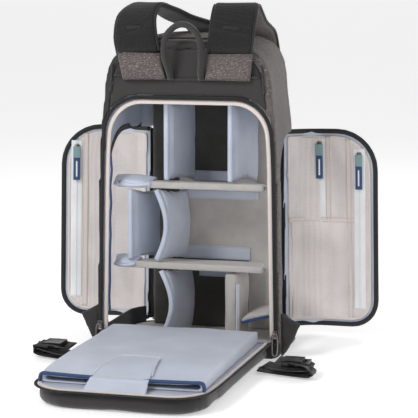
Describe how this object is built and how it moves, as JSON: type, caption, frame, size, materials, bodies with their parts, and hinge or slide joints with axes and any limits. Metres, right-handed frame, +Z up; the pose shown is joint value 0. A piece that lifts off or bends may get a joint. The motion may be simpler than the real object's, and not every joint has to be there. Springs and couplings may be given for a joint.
{
  "type": "camera backpack",
  "caption": "Rear-access camera backpack standing open: back panel with laptop sleeve folded to the floor, zipped side doors swung out, padded dividers inside, straps thrown over the top.",
  "frame": {"origin": "middle of the bag's base, on the floor", "axes": "+X to the right of someone facing the harness side, +Y from the harness side to the front of the bag, +Z up"},
  "size_m": [0.5766, 0.6445, 0.5865],
  "materials": {
    "heather": "brushed heather polyester",
    "charcoal": "smooth woven polyester",
    "black_web": "woven nylon webbing and zip tape",
    "spacer_mesh": "air mesh",
    "felt": "brushed loop felt",
    "nylon_blue": "thin coated nylon",
    "binding": "ribbed binding tape",
    "pocket_mesh": "fine knitted mesh",
    "white_zip": "zip tape with moulded coil",
    "navy_tab": "moulded pull tab",
    "steel": "cast metal slider",
    "buckle_plastic": "moulded acetal"
  },
  "bodies": {
    "bag": {"top_panel": "heather", "front_panel": "heather", "left_side_panel": "heather", "right_side_panel": "heather", "front_pocket": "heather", "left_strap_anchor": "heather", "right_strap_anchor": "heather", "back_yoke": "charcoal", "left_side_gusset": "charcoal", "right_side_gusset": "charcoal", "base_panel": "black_web", "rear_zip_body_half": "black_web", "front_pocket_zip": "black_web", "top_pocket_zip": "black_web", "floor_pad": "felt", "front_liner": "felt", "upper_shelf": "felt", "lower_shelf": "felt", "divider_low_right": "felt", "divider_low_slant": "felt", "divider_top_left": "nylon_blue", "divider_top_right": "nylon_blue", "divider_middle_left": "nylon_blue", "divider_middle_centre": "nylon_blue", "divider_low_centre": "nylon_blue", "rear_opening_binding": "binding"},
    "rear_panel": {"rear_zip_panel_half": "black_web", "rear_panel_board": "nylon_blue", "back_pad": "charcoal", "laptop_sleeve": "nylon_blue"},
    "sleeve_flap": {"sleeve_tab": "nylon_blue"},
    "left_belt": {"left_belt_webbing": "black_web", "left_belt_buckle": "buckle_plastic"},
    "right_belt": {"right_belt_webbing": "black_web", "right_belt_buckle": "buckle_plastic"},
    "left_door": {"left_door_shell": "heather", "left_door_zip": "black_web", "left_door_pocket": "pocket_mesh", "left_pocket_zip": "white_zip"},
    "right_door": {"right_door_shell": "heather", "right_door_zip": "black_web", "right_door_pocket": "pocket_mesh", "right_pocket_zip_inner": "white_zip", "right_pocket_zip_outer": "white_zip"},
    "left_slider": {"left_pocket_slider": "steel"},
    "left_puller": {"left_pocket_puller": "navy_tab"},
    "inner_slider": {"right_pocket_slider_inner": "steel"},
    "inner_puller": {"right_pocket_puller_inner": "navy_tab"},
    "outer_slider": {"right_pocket_slider_outer": "steel"},
    "outer_puller": {"right_pocket_puller_outer": "navy_tab"},
    "left_strap": {"left_strap_pad": "spacer_mesh", "left_strap_webbing": "black_web"},
    "right_strap": {"right_strap_pad": "spacer_mesh", "right_strap_webbing": "black_web"},
    "handle": {"grab_handle": "charcoal"},
    "left_rear_zip": {"left_rear_slider": "steel"},
    "left_rear_pull_ring": {"left_rear_pull": "steel"},
    "right_rear_zip": {"right_rear_slider": "steel"},
    "right_rear_pull_ring": {"right_rear_pull": "steel"},
    "front_zip": {"front_zip_slider": "steel"}
  },
  "joints": [
    {"name": "rear_panel_fold", "type": "hinge", "parent": "bag", "child": "rear_panel", "pos_m": [0, -0.1062, 0.027], "axis": [-1, 0, 0], "range_deg": [0, 90]},
    {"name": "sleeve_flap_lift", "type": "hinge", "parent": "rear_panel", "child": "sleeve_flap", "pos_m": [0, -0.4912, 0.0322], "axis": [-1, 0, 0], "range_deg": [-100, 0]},
    {"name": "left_belt_lift", "type": "hinge", "parent": "rear_panel", "child": "left_belt", "pos_m": [-0.1439, -0.198, 0.005], "axis": [0, -1, 0], "range_deg": [-30, 0]},
    {"name": "right_belt_lift", "type": "hinge", "parent": "rear_panel", "child": "right_belt", "pos_m": [0.1439, -0.198, 0.005], "axis": [0, 1, 0], "range_deg": [-30, 0]},
    {"name": "left_door_swing", "type": "hinge", "parent": "bag", "child": "left_door", "pos_m": [-0.12454, 0.08511, 0.0146], "axis": [0.0205, 0, 0.9998], "range_deg": [0, 74]},
    {"name": "right_door_swing", "type": "hinge", "parent": "bag", "child": "right_door", "pos_m": [0.12454, 0.08511, 0.0146], "axis": [0.0205, 0, -0.9998], "range_deg": [0, 86]},
    {"name": "left_pocket_zip_run", "type": "slide", "parent": "left_door", "child": "left_slider", "axis": [0.0205, 0, 0.9998], "range_m": [-0.225, 0]},
    {"name": "left_puller_lift", "type": "hinge", "parent": "left_slider", "child": "left_puller", "pos_m": [-0.25315, 0.06566, 0.32639], "axis": [0.9611, 0.2756, -0.0197], "range_deg": [-70, 0]},
    {"name": "inner_pocket_zip_run", "type": "slide", "parent": "right_door", "child": "inner_slider", "axis": [-0.0205, 0, 0.9998], "range_m": [-0.138, 0]},
    {"name": "inner_puller_lift", "type": "hinge", "parent": "inner_slider", "child": "inner_puller", "pos_m": [0.18013, 0.09892, 0.3389], "axis": [0.9974, -0.0698, 0.0205], "range_deg": [-45, 0]},
    {"name": "outer_pocket_zip_run", "type": "slide", "parent": "right_door", "child": "outer_slider", "axis": [-0.0205, 0, 0.9998], "range_m": [-0.22, 0]},
    {"name": "outer_puller_lift", "type": "hinge", "parent": "outer_slider", "child": "outer_puller", "pos_m": [0.25034, 0.0945, 0.32233], "axis": [0.9974, -0.0698, 0.0205], "range_deg": [-70, 0]},
    {"name": "left_strap_lift", "type": "hinge", "parent": "bag", "child": "left_strap", "pos_m": [0, -0.1246, 0.505], "axis": [1, 0, 0], "range_deg": [0, 110]},
    {"name": "right_strap_lift", "type": "hinge", "parent": "bag", "child": "right_strap", "pos_m": [0, -0.1246, 0.505], "axis": [1, 0, 0], "range_deg": [0, 110]},
    {"name": "handle_fold", "type": "hinge", "parent": "bag", "child": "handle", "pos_m": [0, -0.1115, 0.4466], "axis": [1, 0, 0], "range_deg": [0, 90]},
    {"name": "left_rear_zip_run", "type": "slide", "parent": "bag", "child": "left_rear_zip", "axis": [0.0205, 0, 0.9998], "range_m": [0, 0.235]},
    {"name": "left_rear_pull_lift", "type": "hinge", "parent": "left_rear_zip", "child": "left_rear_pull_ring", "pos_m": [-0.152, -0.1137, 0.047], "axis": [1, 0, 0], "range_deg": [-80, 0]},
    {"name": "right_rear_zip_run", "type": "slide", "parent": "bag", "child": "right_rear_zip", "axis": [-0.0205, 0, 0.9998], "range_m": [0, 0.235]},
    {"name": "right_rear_pull_lift", "type": "hinge", "parent": "right_rear_zip", "child": "right_rear_pull_ring", "pos_m": [0.152, -0.1137, 0.047], "axis": [1, 0, 0], "range_deg": [-80, 0]},
    {"name": "front_pocket_zip_run", "type": "slide", "parent": "bag", "child": "front_zip", "axis": [1, 0, 0], "range_m": [0, 0.1]}
  ]
}
